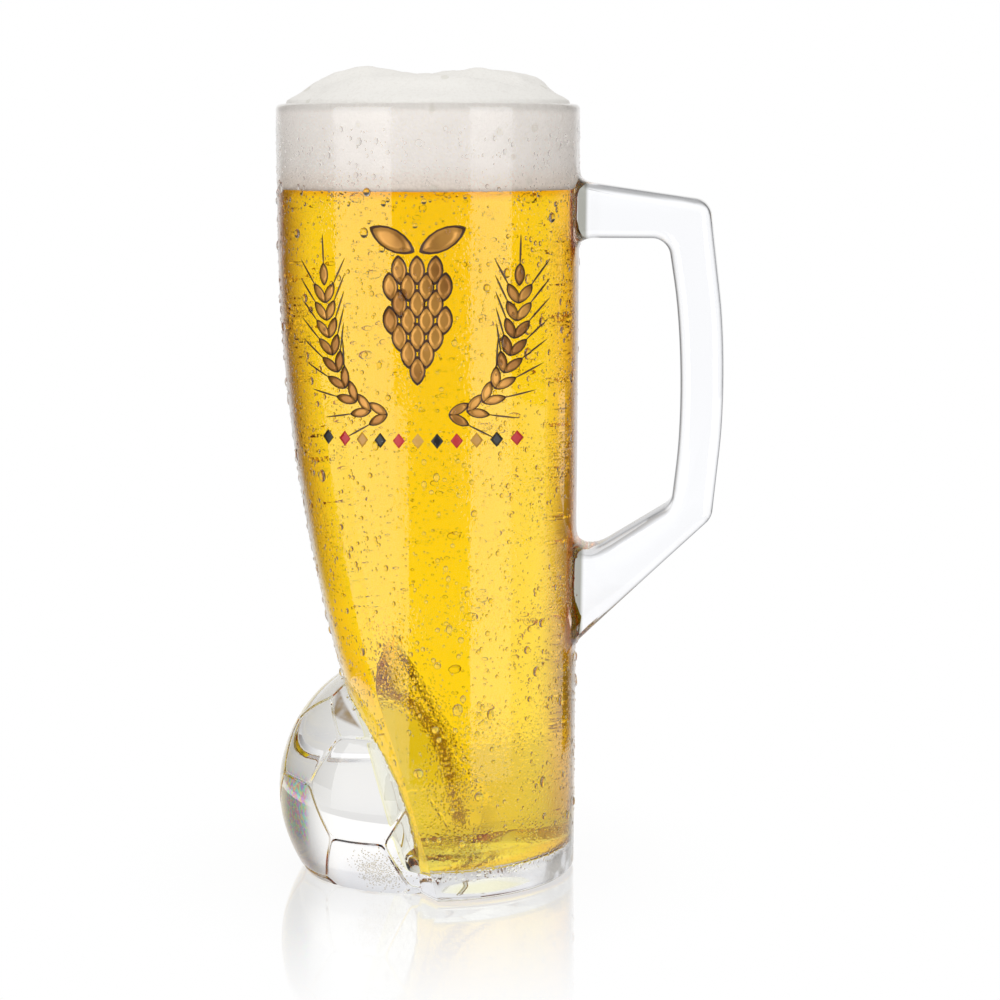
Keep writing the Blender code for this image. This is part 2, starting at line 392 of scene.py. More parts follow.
def inside(point, inset):
    """True for points nearer to the axis than the outside drawn in by inset."""
    radius, edge_x, edge_y, swept_x = section(point.z, inset)
    if point.x > edge_x:
        return point.x**2 + point.y**2 < radius**2
    return abs(point.y) < edge_y and point.x > swept_x(point.y)


def levels(low, high, count):
    return [low + (high - low) * step / count for step in range(count + 1)]


def wall_levels(low, high):
    """Heights up a wall, closer together beside the ball."""
    return levels(low, BALL_TOP, 50)[:-1] + levels(BALL_TOP, high, 30)


print("height", round(HEIGHT, 4), "beer line", round(BEER_LINE, 4))

# %% [markdown]
# Body, beer and foam are all stacks of rings. By hand: add a filled circle, extrude it upwards and
# push its points to the next level's outline, over and over. `stack` does just that, and the cap
# rides up with every extrusion, so the piece is closed at both ends when it stops.

# %% Stack rings
def start(piece_name):
    piece = bpy.context.object
    piece.name = piece_name
    piece.data.name = piece_name
    return piece


def stack(name, rings):
    bpy.ops.object.select_all(action="DESELECT")
    bpy.ops.mesh.primitive_circle_add(vertices=len(rings[0]), radius=1, fill_type="NGON")
    piece = start(name)
    bpy.ops.object.mode_set(mode="EDIT")
    bpy.ops.mesh.select_all(action="SELECT")
    for place, points in enumerate(rings):
        if place > 0:
            bpy.ops.mesh.extrude_region_move()
        mesh = bmesh.from_edit_mesh(piece.data)
        cap = next(face for face in mesh.faces if face.select)
        for vertex, point in zip(cap.verts, points):
            vertex.co = point
    bpy.ops.mesh.select_all(action="SELECT")
    bpy.ops.mesh.normals_make_consistent(inside=False)
    bpy.ops.object.mode_set(mode="OBJECT")
    return piece


def add_modifier(piece, kind, **settings):
    """Adds a modifier, sets it and applies it."""
    bpy.ops.object.select_all(action="DESELECT")
    bpy.context.view_layer.objects.active = piece
    piece.select_set(True)
    made = piece.modifiers.new(kind.lower(), kind)
    for key, value in settings.items():
        setattr(made, key, value)
    bpy.ops.object.modifier_apply(modifier=made.name)


print("ring tools ready")

# %% [markdown]
# The glass body goes up on the outside, over a round rim and down the inside to a thick floor.

# %% The glass body
ROUND_STEPS = 8
FLOOR_SHARE = 0.25
CORE_INSET = 0.0004
outside = []
for step in range(ROUND_STEPS):
    turn = 0.5 * math.pi * step / ROUND_STEPS
    outside.append(ring(FOOT_ROUND * (1 - math.cos(turn)), 0, FOOT_ROUND * (1 - math.sin(turn))))
half_wall = RIM_WALL / 2
outside += [ring(z) for z in wall_levels(FOOT_ROUND, HEIGHT - half_wall)]
lip = []
for step in range(1, 2 * ROUND_STEPS):
    turn = math.pi * step / (2 * ROUND_STEPS)
    lip.append(ring(HEIGHT - half_wall + half_wall * math.sin(turn), half_wall * (1 - math.cos(turn))))


def cavity(spread, top):
    """Rings of the hollow from its rounded bottom edge up to a level, grown by spread (less below)."""
    rings = []
    for step in range(ROUND_STEPS):
        turn = 0.5 * math.pi * step / ROUND_STEPS
        z = FLOOR + INNER_ROUND * (1 - math.cos(turn))
        rings.append(ring(z, wall_thickness(z) - spread, INNER_ROUND * (1 - math.sin(turn))))
    for point in rings[0]:
        point.z -= FLOOR_SHARE * spread
    for z in wall_levels(FLOOR + INNER_ROUND, top):
        rings.append(ring(z, wall_thickness(z) - spread))
    return rings


body = stack("mug_glass", outside + lip + cavity(0, HEIGHT - half_wall)[::-1])
core_rings = [ring(z, CORE_INSET) for z in wall_levels(0, HEIGHT - half_wall)]
core = stack("core", [[Vector((point.x, point.y, -FLOOR)) for point in core_rings[0]]] + core_rings)
print("glass body:", len(body.data.polygons), "faces")

# %% [markdown]
# The football is a classic: an icosahedron with its twelve corners cut off gives twelve five-sided
# and twenty six-sided panels. A thin inset along every panel makes room for the seams, Cast rounds
# the whole thing, and Displace sinks the seams.

# %% The football
BALL_RADIUS = 0.0358
BALL_OFFSET = 0.0035
BALL_HEIGHT = 0.0203
SEAM_WIDTH = 0.0009
SEAM_DEPTH = 0.0003
bpy.ops.object.select_all(action="DESELECT")
bpy.ops.mesh.primitive_ico_sphere_add(
    subdivisions=1, radius=BALL_RADIUS, location=(-BALL_OFFSET, 0, BALL_HEIGHT)
)
ball = start("ball")
ball.vertex_groups.new(name="seams")
bpy.ops.object.mode_set(mode="EDIT")
bpy.ops.mesh.select_all(action="SELECT")
bpy.ops.mesh.bevel(offset_type="PERCENT", offset_pct=100 / 3, affect="VERTICES", segments=1)
bpy.ops.mesh.select_all(action="SELECT")
bpy.ops.object.vertex_group_assign()
bpy.ops.mesh.inset(thickness=SEAM_WIDTH / 2, use_individual=True, use_even_offset=True)
bpy.ops.object.vertex_group_remove_from()
bpy.ops.mesh.poke()
bpy.ops.mesh.select_all(action="SELECT")
bpy.ops.mesh.subdivide(number_cuts=5)
bpy.ops.object.mode_set(mode="OBJECT")
add_modifier(ball, "CAST", factor=1.0, use_radius_as_size=False, size=BALL_RADIUS, radius=0.0)
add_modifier(ball, "DISPLACE", strength=-SEAM_DEPTH, mid_level=0.0, vertex_group="seams")
add_modifier(ball, "SUBSURF", levels=1, render_levels=1)
bpy.ops.object.transform_apply(location=True)
bpy.ops.object.mode_set(mode="EDIT")
bpy.ops.mesh.select_all(action="SELECT")
bpy.ops.mesh.bisect(
    plane_co=(0, 0, 0), plane_no=(0, 0, 1), use_fill=True, clear_inner=True, threshold=1e-6
)
bpy.ops.mesh.select_all(action="SELECT")
bpy.ops.mesh.normals_make_consistent(inside=False)
bpy.ops.object.mode_set(mode="OBJECT")
print("football:", len(ball.data.polygons), "faces")

# %% [markdown]
# The handle is a flat bar bent into an angular loop. Its outline is one flat face: a filled circle
# whose points are pulled to the corners, each corner then rounded with a vertex bevel. Extruding
# it gives the width, and a bevel along both rims takes the sharpness off.

# %% The handle
HANDLE_WIDTH = 0.017
EDGE_ROUND = 0.0034
CORNER_ROUND = 0.0045
ROOT_FILLET = 0.006
TOP = HEIGHT - 0.0187
UNDER = TOP - 0.0143
GRIP = HEIGHT - 0.0664
HEEL = HEIGHT - 0.1029
CROTCH = HEIGHT - 0.1154
TAIL = CROTCH - 0.0220
INNER_HEEL = UNDER - 0.0665
REACH_TOP = RIM_RADIUS + 0.0326
REACH_GRIP = RIM_RADIUS + 0.0378
REACH_HEEL = RIM_RADIUS + 0.0340
SUNK = 0.0003
ROOT = math.sqrt(wall_radius(TAIL) ** 2 - (HANDLE_WIDTH / 2) ** 2) - SUNK
DEEP = ROOT - 2 * ROOT_FILLET
SPREAD = 2 * ROOT_FILLET
BAR = 0.0102
GRIP_BOW = 0.170
loop = [
    (ROOT, TOP + SPREAD, 0),
    (ROOT, TOP, ROOT_FILLET),
    (REACH_TOP, TOP - 0.0050, CORNER_ROUND),
    (REACH_GRIP, GRIP, GRIP_BOW),
    (REACH_HEEL, HEEL, CORNER_ROUND),
    (ROOT, TAIL, ROOT_FILLET),
    (ROOT, TAIL - SPREAD, 0),
    (DEEP, TAIL - SPREAD, 0),
    (DEEP, CROTCH + SPREAD, 0),
    (ROOT, CROTCH + SPREAD, 0),
    (ROOT, CROTCH, ROOT_FILLET),
    (REACH_HEEL - BAR, INNER_HEEL, CORNER_ROUND),
    (REACH_GRIP - BAR, GRIP, GRIP_BOW),
    (REACH_TOP - BAR, UNDER, CORNER_ROUND),
    (ROOT, UNDER, ROOT_FILLET),
    (ROOT, UNDER - SPREAD, 0),
    (DEEP, UNDER - SPREAD, 0),
    (DEEP, TOP + SPREAD, 0),
]


def tangent_lengths(corners):
    """How far each corner's arc reaches along its two sides, held back where arcs would meet."""
    tips = [Vector(corner[:2]) for corner in corners]
    count = len(tips)
    reach = []
    for place, tip in enumerate(tips):
        opening = (tips[place - 1] - tip).angle(tips[(place + 1) % count] - tip)
        reach.append(corners[place][2] / math.tan(opening / 2))
    for place, tip in enumerate(tips):
        after = (place + 1) % count
        crowding = (reach[place] + reach[after]) / (0.95 * (tips[after] - tip).length)
        if crowding > 1:
            reach[place] /= crowding
            reach[after] /= crowding
    return reach


bpy.ops.object.select_all(action="DESELECT")
bpy.ops.mesh.primitive_circle_add(vertices=len(loop), radius=1, fill_type="NGON")
handle = start("handle_glass")
for vertex, (x, z, _) in zip(handle.data.vertices, loop):
    vertex.co = (x, -HANDLE_WIDTH / 2, z)
bpy.ops.object.mode_set(mode="EDIT")
bpy.ops.mesh.select_mode(type="VERT")
for (x, z, _), reach in zip(loop, tangent_lengths(loop)):
    if reach == 0:
        continue
    bpy.ops.mesh.select_all(action="DESELECT")
    mesh = bmesh.from_edit_mesh(handle.data)
    corner = Vector((x, -HANDLE_WIDTH / 2, z))
    min(mesh.verts, key=lambda vertex: (vertex.co - corner).length).select_set(True)
    mesh.select_flush(True)
    bpy.ops.mesh.bevel(offset=reach, affect="VERTICES", segments=12, profile=0.5, clamp_overlap=False)
bpy.ops.mesh.select_all(action="SELECT")
bpy.ops.mesh.extrude_region_move(TRANSFORM_OT_translate={"value": (0, HANDLE_WIDTH, 0)})
bpy.ops.mesh.select_mode(type="EDGE")
bpy.ops.mesh.select_all(action="DESELECT")
mesh = bmesh.from_edit_mesh(handle.data)
for edge in mesh.edges:
    first, second = edge.verts
    edge.select_set(abs(first.co.y - second.co.y) < 1e-6)
bpy.ops.mesh.bevel(offset=EDGE_ROUND, segments=8, profile=0.5, clamp_overlap=False)
bpy.ops.mesh.select_all(action="SELECT")
bpy.ops.mesh.normals_make_consistent(inside=False)
bpy.ops.object.mode_set(mode="OBJECT")
print("handle:", len(handle.data.polygons), "faces")

# %% [markdown]
# On the real mug the three run together while the glass is soft. What reaches past the middle of
# the wall is cut off the ball and the handle, and two Boolean unions make it one piece of glass.
# Each part keeps a number of its own, so the joints are the edges where the number changes; the
# points along them are merged and smoothed into hollow fillets.

# %% One piece of glass
SLIVER = 0.0002
SHARP = math.radians(35)
BALL_NUMBER = 1
HANDLE_NUMBER = 2
for number, part in enumerate((body, ball, handle)):
    for name in ("body", "ball", "handle"):
        part.data.materials.append(bpy.data.materials.get(name) or bpy.data.materials.new(name))
    for face in part.data.polygons:
        face.material_index = number
for part in (ball, handle):
    add_modifier(part, "BOOLEAN", operation="DIFFERENCE", object=core, solver="MANIFOLD")
for part in (ball, handle):
    add_modifier(body, "BOOLEAN", operation="UNION", object=part, solver="MANIFOLD")
for part in (ball, handle, core):
    bpy.data.objects.remove(part)
glass = body
bpy.ops.object.select_all(action="DESELECT")
bpy.context.view_layer.objects.active = glass
glass.select_set(True)


def soften_joint(number, rings, repeat):
    """Merges the points along one part's joint and smooths a band of rings on both sides of it."""
    bpy.ops.mesh.select_all(action="DESELECT")
    mesh = bmesh.from_edit_mesh(glass.data)
    for edge in mesh.edges:
        numbers = {face.material_index for face in edge.link_faces}
        if len(numbers) > 1 and number in numbers:
            for vertex in edge.verts:
                vertex.select_set(True)
    mesh.select_flush(True)
    points = sum(vertex.select for vertex in mesh.verts)
    bpy.ops.mesh.select_more()
    bpy.ops.mesh.remove_doubles(threshold=SLIVER)
    for _ in range(rings - 1):
        bpy.ops.mesh.select_more()
    mesh = bmesh.from_edit_mesh(glass.data)
    for vertex in mesh.verts:
        if vertex.co.z < FOOT_ROUND:
            vertex.select_set(False)
    bpy.ops.mesh.vertices_smooth(factor=0.5, repeat=repeat)
    return points


bpy.ops.object.mode_set(mode="EDIT")
bpy.ops.mesh.select_mode(type="VERT")
joint_points = soften_joint(BALL_NUMBER, rings=1, repeat=2)
joint_points += soften_joint(HANDLE_NUMBER, rings=3, repeat=8)
bpy.ops.object.mode_set(mode="OBJECT")
bpy.ops.object.shade_smooth_by_angle(angle=SHARP)
print("glass:", len(glass.data.polygons), "faces,", joint_points, "points along the joints")

# %% [markdown]
# Clear pressed glass: a smooth dielectric with an index of 1.5, and a faint waviness from the
# mould that keeps its reflections from being ruler-straight. Where the beer wets the wall, light
# steps from 1.5 to only 1.34, so the wet faces carry the quotient of the two. The beer's own skin
# then bends nothing, and the false mirror that an air film would make is gone. The underside is
# a little frosted by the years on tables. A tint by place paints in what thick glass does to light:
# painted shade in the thick foot, along the handle's edges, at its roots and at the heel, and painted
# light on the ball, an amber patch and a few flecks of rainbow. Fine mist on the outer wall is a bump
# and a thin haze.

# %% Glass finish
GLASS_INDEX = 1.5
BEER_INDEX = 1.34
FROST = 0.02
CLEAR = (1, 1, 1, 1)
HANDLE_WHITE = (0.962, 0.968, 0.988, 1)
# painted shade for the thick foot, the handle's edges, its roots and the heel
BASE_SHADE = (0.78, 0.785, 0.81, 1)
EDGE_SHADE = (0.12, 0.12, 0.13, 1)
ROOT_SHADE = (0.19, 0.19, 0.155, 1)
HEEL_SHADE = (0.22, 0.205, 0.18, 1)
# painted light: an amber patch on the ball
AMBER_LIGHT = (0.20, 0.11, 0.03, 1)
HAZE_WHITE = (0.93, 0.93, 0.92, 1)
UNDERSIDE = 0.0001


def band(value, low, full, fading, high):
    """1 from full to fading, 0 below low and above high."""
    return smooth(value, low, full) * (1.0 - smooth(value, fading, high))


def glass_tint(tree, place, grazing):
    """Colour by place, mostly painted shade and painted light: each blend lays one patch over the ones
    before it.
    """
    parts = tree.nodes.new("ShaderNodeSeparateXYZ")
    tree.links.new(place.socket, parts.inputs[0])
    across, along, upward = (Link(parts.outputs[axis]) for axis in "XYZ")
    tint = blend_colour(tree, smooth(across, 0.036, 0.039), CLEAR, HANDLE_WHITE)
    # painted shade: greyer in the thick foot
    tint = blend_colour(tree, smooth(upward, 0.0048, 0.0060), BASE_SHADE, tint)
    # painted shade along the handle's outer edges
    edge = smooth(across, 0.042, 0.044) * smooth(grazing, 0.32, 0.75)
    tint = blend_colour(tree, edge, tint, EDGE_SHADE)
    # painted shade at the handle's roots
    root = smooth(across - 0.01 * upward, 0.0362, 0.0368)
    root = root * (1.0 - smooth(across - 0.008 * upward, 0.0387, 0.0398))
    root = root * (1.0 - smooth(along, -0.005, 0.0))
    tint = blend_colour(tree, root, tint, ROOT_SHADE)
    clouds = make(tree, "TexNoise", None, {"Vector": place, "Scale": 170.0, "Detail": 2.0})
    # patchiness for the painted heel shade and the painted amber light
    painted_patches = smooth(clouds, 0.38, 0.58)
    # painted shade at the heel
    heel = smooth(across, 0.0275, 0.0335) * (1.0 - smooth(upward, 0.0065, 0.0085))
    tint = blend_colour(tree, heel * (0.35 + 0.65 * painted_patches), tint, HEEL_SHADE)
    # painted light: an amber patch on the ball
    amber = smooth(across, -0.0230, -0.0215) * (1.0 - smooth(upward + 0.885 * across, 0.0286, 0.0297))
    amber = amber * smooth(upward + 0.21 * across, 0.0380, 0.0390) * (1.0 - smooth(along, -0.014, -0.011))
    tint = blend_colour(tree, amber * (0.65 + 0.35 * painted_patches), tint, AMBER_LIGHT)
    # painted light: flecks of rainbow on the ball
    flecks = make(tree, "TexNoise", None, {"Vector": place, "Scale": 850.0, "Detail": 1.0}, output=1)
    rainbow = make(tree, "HueSaturation", None, {"Saturation": 6.0, "Value": 1.2, "Color": flecks})
    split = band(across, -0.0360, -0.0340, -0.0290, -0.0268) * band(upward, 0.008, 0.013, 0.025, 0.030)
    return blend_colour(tree, 0.8 * split * (1.0 - smooth(along, -0.012, -0.006)), tint, rainbow)


def glass_finish(name, index, roughness=0.0):
    finish, tree, out = new_finish(name)
    place = make(tree, "TexCoord", output=3)
    grazing = make(tree, "LayerWeight", None, {"Blend": 0.5}, output=1)
    wave = make(tree, "TexNoise", None, {"Vector": place, "Scale": 45.0, "Detail": 1.0})
    ripple = make(tree, "Bump", None, {"Height": wave, "Strength": 0.05, "Distance": 0.0006})
    beads = make(tree, "TexVoronoi", None, {"Vector": place, "Scale": 1100.0, "Randomness": 1.0})
    blots = make(tree, "TexNoise", None, {"Vector": place, "Scale": 60.0, "Detail": 2.0})
    patches = smooth(blots, 0.35, 0.65)
    misted = make(tree, "Attribute", {"attribute_name": "mist"}, output=2)
    height = (1.0 - smooth(beads, 0.0, 0.55)) * misted * patches
    mist = make(
        tree, "Bump", None,
        {"Height": height, "Strength": 0.35, "Distance": 0.0002, "Normal": ripple},
    )
    shader = make(
        tree, "BsdfPrincipled", None,
        {
            "Base Color": glass_tint(tree, place, grazing), "Roughness": roughness, "IOR": index,
            "Transmission Weight": 1.0, "Normal": mist,
        },
    )
    haze = make(tree, "BsdfDiffuse", None, {"Color": HAZE_WHITE})
    cover = misted * (0.008 + 0.6 * smooth(grazing, 0.70, 0.93)) * (0.35 + 0.65 * patches)
    surface = make(tree, "MixShader", None, {0: cover, 1: shader, 2: haze})
    tree.links.new(surface.socket, out.inputs["Surface"])
    return finish


def on_outer_wall(point):
    """True for points on the mug's outside, away from the ball and the handle."""
    return inside(point, -0.0005) and not inside(point, 0.001)


def inside_beer(point):
    """True for points on the hollow's wall that the beer covers."""
    if point.z > BEER_LINE or point.z < FLOOR - 1e-5:
        return False
    return inside(point, 0.5 * wall_thickness(point.z))


glass.data.materials.clear()
glass.data.materials.append(glass_finish("clear_glass", GLASS_INDEX))
glass.data.materials.append(glass_finish("clear_glass_wet", GLASS_INDEX / BEER_INDEX))
glass.data.materials.append(glass_finish("frosted_underside", GLASS_INDEX, FROST))
wet = 0
for face in glass.data.polygons:
    if face.center.z < UNDERSIDE:
        face.material_index = 2
    else:
        face.material_index = int(inside_beer(face.center))
        wet += face.material_index
misted = glass.data.attributes.new("mist", "FLOAT", "POINT")
for vertex, value in zip(glass.data.vertices, misted.data):
    damp = FLOOR < vertex.co.z < HEIGHT - RIM_WALL and on_outer_wall(vertex.co)
    value.value = 1.0 if damp else 0.0
print("glass finish made,", wet, "wet faces")

# %% [markdown]
# The beer fills the hollow. Its colour comes from its depth: a volume that absorbs blue strongly,
# green a little and red hardly at all, so thin places are pale yellow and deep ones golden. It
# reaches a hair into the glass, so no film of air is left between them. Its skin carries painted
# shade: warmer up high, towards its outline and in a collar under the foam, but not on the side
# that faces the ball.

# %% The beer
LIQUID_OVERLAP = 0.00012
SKIN_LOW = (1.0, 1.0, 0.93, 1)
# painted shade on the beer's skin: up high, at its outline and in a collar under the foam
SKIN_SHADE_HIGH = (1.0, 0.915, 0.66, 1)
SKIN_SHADE_OUTLINE = (1.0, 0.74, 0.60, 1)
SKIN_SHADE_COLLAR = (0.90, 0.58, 0.20, 1)
DEEP_GOLD = (0.9945, 0.912, 0.03, 1)
BEER_DENSITY = 78.0
beer = stack("beer_fill", cavity(LIQUID_OVERLAP, BEER_LINE))
bpy.ops.object.shade_smooth_by_angle(angle=SHARP)
finish, tree, out = new_finish("beer")
place = make(tree, "TexCoord", output=3)
parts = tree.nodes.new("ShaderNodeSeparateXYZ")
tree.links.new(place.socket, parts.inputs[0])
across, height = Link(parts.outputs["X"]), Link(parts.outputs["Z"])
# painted shade: the skin warmer up high
tint = blend_colour(tree, smooth(height, 0.05, 0.17), SKIN_LOW, SKIN_SHADE_HIGH)
grazing = make(tree, "LayerWeight", None, {"Blend": 0.5}, output=1)
# painted shade: warmer towards the outline, but not beside the ball
beside_ball = (1.0 - smooth(height, 0.045, 0.055)) * (1.0 - smooth(across, 0.004, 0.010))
grazing = smooth(grazing, 0.15, 0.27) * smooth(height, FLOOR + 0.0002, FLOOR + 0.003)
grazing = grazing * (1.0 - beside_ball)
tint = blend_colour(tree, grazing, tint, SKIN_SHADE_OUTLINE)
# painted shade in a collar under the foam
collar = smooth(height, BEER_LINE - 0.0026, BEER_LINE - 0.0003)
tint = blend_colour(tree, collar, tint, SKIN_SHADE_COLLAR)
shader = make(
    tree, "BsdfPrincipled", None,
    {"Base Color": tint, "Roughness": 0.0, "IOR": 1.0, "Transmission Weight": 1.0},
)
depth_colour = make(tree, "VolumeAbsorption", None, {"Color": DEEP_GOLD, "Density": BEER_DENSITY})
tree.links.new(shader.socket, out.inputs["Surface"])
tree.links.new(depth_colour.socket, out.inputs["Volume"])
beer.data.materials.append(finish)
print("beer:", len(beer.data.polygons), "faces")

# %% [markdown]
# The foam head stands on the beer and swells above the rim. Its dome is a stack of rings too; two
# soft lobes come from a cosine across it, a lower mound is set off in front of them, and two
# Displace modifiers with cloud textures roughen it. Behind the glass the froth carries painted
# light: it is paler than on the dome and glows a little, though it is no lamp. Its bubble pits carry
# painted shade, and its dark flecks are partly its own and partly painted shade towards its outline.

# %% The foam
FOAM_RISE = 0.0082
FOAM_LOBE = 0.0005
FRONT_CREST = 0.84
FRONT_FALL = 0.9
FRONT_FROM = -0.30
FRONT_BLEND = 0.12
LOBE_APART = 0.76
RAISED_OVER = 0.003
# painted light: paler froth behind the glass
PAINTED_LIT_FROTH = (0.985, 0.955, 0.922, 1)
OPEN_FROTH = (0.90, 0.88, 0.84, 1)
SOAKED_FROTH = (0.86, 0.76, 0.66, 1)
# painted shade for the bubble pits
BUBBLE_PIT_SHADE = (0.72, 0.70, 0.62, 1)
# dark flecks: the froth's own, with more towards its outline as painted shade
FLECK_AND_EDGE_SHADE = (0.62, 0.57, 0.50, 1)
# painted glow for the froth behind the glass
PAINTED_FROTH_GLOW = (0.135, 0.118, 0.105, 1)
profile = np.array([
    (1.0, 0.0), (0.99, 0.11), (0.95, 0.22), (0.89, 0.36), (0.845, 0.50), (0.80, 0.66), (0.75, 0.80),
    (0.69, 0.90), (0.58, 0.98), (0.45, 1.0), (0.32, 0.97), (0.18, 0.93), (0.02, 0.92),
])
along = np.linspace(0, len(profile) - 1, 49)
shares = np.interp(along, range(len(profile)), profile[:, 0])
rises = np.interp(along, range(len(profile)), profile[:, 1])
foam_rings = [ring(z, wall_thickness(z) - LIQUID_OVERLAP) for z in levels(BEER_LINE, HEIGHT, 24)]
brim = foam_rings[-1]
for share, rise in zip(shares[1:], rises[1:]):
    level = []
    for point in brim:
        x = share * point.x / RIM_RADIUS
        y = share * point.y / RIM_RADIUS
        lobes = -FOAM_LOBE * rise * math.cos(2 * math.pi * x / LOBE_APART)
        swell = FOAM_RISE * rise + lobes
        crest = min(swell, FOAM_RISE * (FRONT_CREST - FRONT_FALL * x**2))
        swell += min(max((FRONT_FROM - y) / FRONT_BLEND, 0), 1) * (crest - swell)
        level.append(Vector((share * point.x, share * point.y, HEIGHT + swell)))
    foam_rings.append(level)
foam = stack("foam_froth", foam_rings)
bpy.ops.object.shade_smooth()
raised = foam.vertex_groups.new(name="raised")
for vertex in foam.data.vertices:
    raised.add([vertex.index], min(max((vertex.co.z - HEIGHT) / RAISED_OVER, 0), 1), "REPLACE")
for size, strength in ((0.016, 0.0016), (0.004, 0.0005)):
    clouds = bpy.data.textures.new("clouds", "CLOUDS")
    clouds.noise_scale = size
    add_modifier(
        foam, "DISPLACE", texture=clouds, texture_coords="LOCAL", strength=strength,
        mid_level=0.5, vertex_group="raised",
    )
foam.vertex_groups.clear()
finish, tree, out = new_finish("foam")
place = make(tree, "TexCoord", output=3)
parts = tree.nodes.new("ShaderNodeSeparateXYZ")
tree.links.new(place.socket, parts.inputs[0])
height = Link(parts.outputs["Z"])
cells = make(tree, "TexVoronoi", None, {"Vector": place, "Scale": 1500.0})
grain = make(tree, "TexNoise", None, {"Vector": place, "Scale": 300.0, "Detail": 3.0})
spots = make(tree, "TexVoronoi", None, {"Vector": place, "Scale": 130.0})
bubble = 1.0 - smooth(spots, 0.10, 0.16)
relief = cells + grain - 1.5 * bubble
bump = make(tree, "Bump", None, {"Height": relief, "Strength": 0.30, "Distance": 0.0003})
soaked = 1.0 - smooth(height, BEER_LINE, BEER_LINE + 0.007)
open_air = smooth(height, HEIGHT - 0.003, HEIGHT)
# painted light: paler froth behind the glass than on the open dome
froth = blend_colour(tree, open_air, PAINTED_LIT_FROTH, OPEN_FROTH)
froth = blend_colour(tree, 0.75 * soaked, froth, SOAKED_FROTH)
# painted shade in the bubble pits
froth = blend_colour(tree, 0.5 * bubble, froth, BUBBLE_PIT_SHADE)
fine = make(tree, "TexNoise", None, {"Vector": place, "Scale": 1300.0, "Detail": 2.0})
grazing = make(tree, "LayerWeight", None, {"Blend": 0.5}, output=1)
# dark flecks: the froth's own, with more towards its outline as painted shade
flecks_and_edge_shade = 0.12 + 0.25 * soaked + 0.30 * smooth(grazing, 0.15, 0.6) * (1.0 - 0.8 * open_air)
flecks_and_edge_shade = flecks_and_edge_shade * smooth(fine, 0.50, 0.66) * (1.0 - 0.4 * open_air)
froth = blend_colour(tree, flecks_and_edge_shade, froth, FLECK_AND_EDGE_SHADE)
# painted glow on the froth behind the glass, though it is no lamp
hidden = 1.0 - smooth(height, BEER_LINE, BEER_LINE + 0.0015) * (1.0 - open_air)
glow = blend_colour(tree, hidden, PAINTED_FROTH_GLOW, (0.0, 0.0, 0.0, 1))
shader = make(
    tree, "BsdfPrincipled", None,
    {
        "Base Color": froth, "Roughness": 0.75, "Specular IOR Level": 0.0, "Normal": bump,
        "Emission Color": glow, "Emission Strength": 1.0,
    },
)
tree.links.new(shader.socket, out.inputs["Surface"])
foam.data.materials.append(finish)
print("foam:", len(foam.data.polygons), "faces")

# %% [markdown]
# Bubbles rise through the beer. One small ball is modelled, and its copies are strewn through the
# hollow, closest together near the middle. Many more cling to the far wall along an arch, where the
# edge of the swept side shows through the beer. Seen from the beer, air has the lower index: 1 to 1.34.

# %% The bubbles
BUBBLES = 520
ARCH_BUBBLES = 1900
ARCH = (
    (0.0009, 0.0065), (0.0000, 0.0118), (-0.0009, 0.0185), (-0.0021, 0.0249),
    (-0.0036, 0.0312), (-0.0055, 0.0361), (-0.0076, 0.0402), (-0.0099, 0.0427),
)


def strew(name, pattern, places):
    """One mesh with a copy of the pattern at each (matrix rows, place)."""
    points = np.array([vertex.co[:] for vertex in pattern.data.vertices])
    faces = [tuple(face.vertices) for face in pattern.data.polygons]
    all_points = []
    all_faces = []
    for count, (turn, place) in enumerate(places):
        all_points.append(points @ np.array(turn) + np.array(place))
        all_faces += [tuple(corner + count * len(points) for corner in face) for face in faces]
    mesh = bpy.data.meshes.new(name)
    mesh.from_pydata(np.concatenate(all_points).tolist(), [], all_faces)
    mesh.shade_smooth()
    piece = bpy.data.objects.new(name, mesh)
    scene.collection.objects.link(piece)
    bpy.data.objects.remove(pattern)
    return piece


chance = random.Random(7)
places = []
while len(places) < BUBBLES:
    radius = 0.0001 + 0.00028 * chance.random() ** 2
    spread = chance.choice((0.012, 0.02, 0.032))
    x, y = chance.gauss(0.002, spread), chance.gauss(-0.006, spread)
    middle = Vector((x, y, chance.uniform(0.012, 0.17)))
    if inside(middle, wall_thickness(middle.z) + 0.001 + radius):
        places.append((radius * np.eye(3), middle))
while len(places) < BUBBLES + ARCH_BUBBLES:
    radius = 0.00014 + 0.00024 * chance.random() ** 2
    share = chance.uniform(0, len(ARCH) - 1)
    x, z = (float(np.interp(share, range(len(ARCH)), side)) for side in zip(*ARCH))
    middle = Vector((x + chance.gauss(0, 0.0004), 0.037, z + chance.gauss(0, 0.0003)))
    while not inside(middle, wall_thickness(z) + 0.0001 + radius):
        middle.y -= 0.0002
    middle.y -= abs(chance.gauss(0, 0.0006))
    places.append((radius * np.eye(3), middle))
bpy.ops.object.select_all(action="DESELECT")
bpy.ops.mesh.primitive_ico_sphere_add(subdivisions=2, radius=1)
bubbles = strew("beer_bubbles", start("bubble"), places)
finish, tree, out = new_finish("bubble_skin")
shader = make(
    tree, "BsdfGlass", None, {"Color": (1, 1, 1, 1), "Roughness": 0.0, "IOR": 1 / BEER_INDEX}
)
tree.links.new(shader.socket, out.inputs["Surface"])
bubbles.data.materials.append(finish)
print("bubbles:", len(places))

# %% [markdown]
# The front carries a print in gold enamel with dark outlines: a hop cone between two ears of barley,
# and a row of small diamonds under them. One pointed seed and one diamond are modelled flat and copied
# in the plane of the drawing. Shrinkwrap then throws the drawing on the curved wall, and Solidify gives
# the enamel its thickness. Gold lies on top of its outline, so it is thrown a little less deep.

